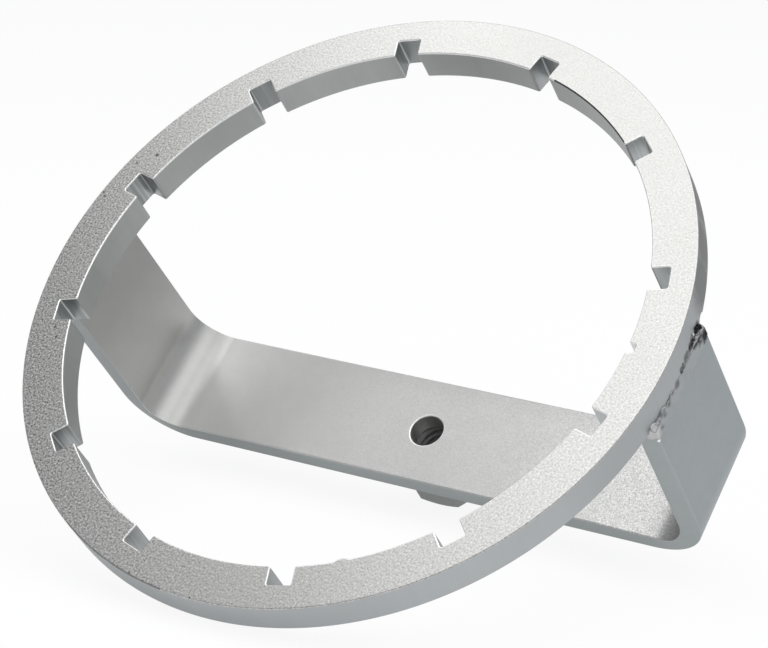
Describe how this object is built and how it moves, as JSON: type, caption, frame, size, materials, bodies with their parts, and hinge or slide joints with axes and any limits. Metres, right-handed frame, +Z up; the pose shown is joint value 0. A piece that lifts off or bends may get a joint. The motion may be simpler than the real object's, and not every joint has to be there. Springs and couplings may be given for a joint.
{
  "type": "fuel pump lock ring wrench",
  "caption": "Notched steel ring with a welded bridge bar and hex nut, for turning the lock ring of a tank-mounted fuel pump with a socket driver.",
  "frame": {"origin": "middle of the footprint, on the surface that the wrench lies on", "axes": "+X along the bridge bar, +Z up from the surface, and the ring's notched working face looks towards -Y and up"},
  "size_m": [0.153, 0.1162, 0.1104],
  "materials": {
    "ring_steel": "fine blasted faces and smooth cut walls",
    "bar_steel": "satin, with a fine grain",
    "nut_steel": "plain satin",
    "weld_steel": "rippled bead with dark pits and a smooth end"
  },
  "bodies": {
    "root": {"lock_ring": "ring_steel", "bridge_bar": "bar_steel", "drive_nut": "nut_steel", "right_leg_weld": "weld_steel", "left_leg_weld": "weld_steel", "nut_weld": "weld_steel"}
  },
  "joints": []
}
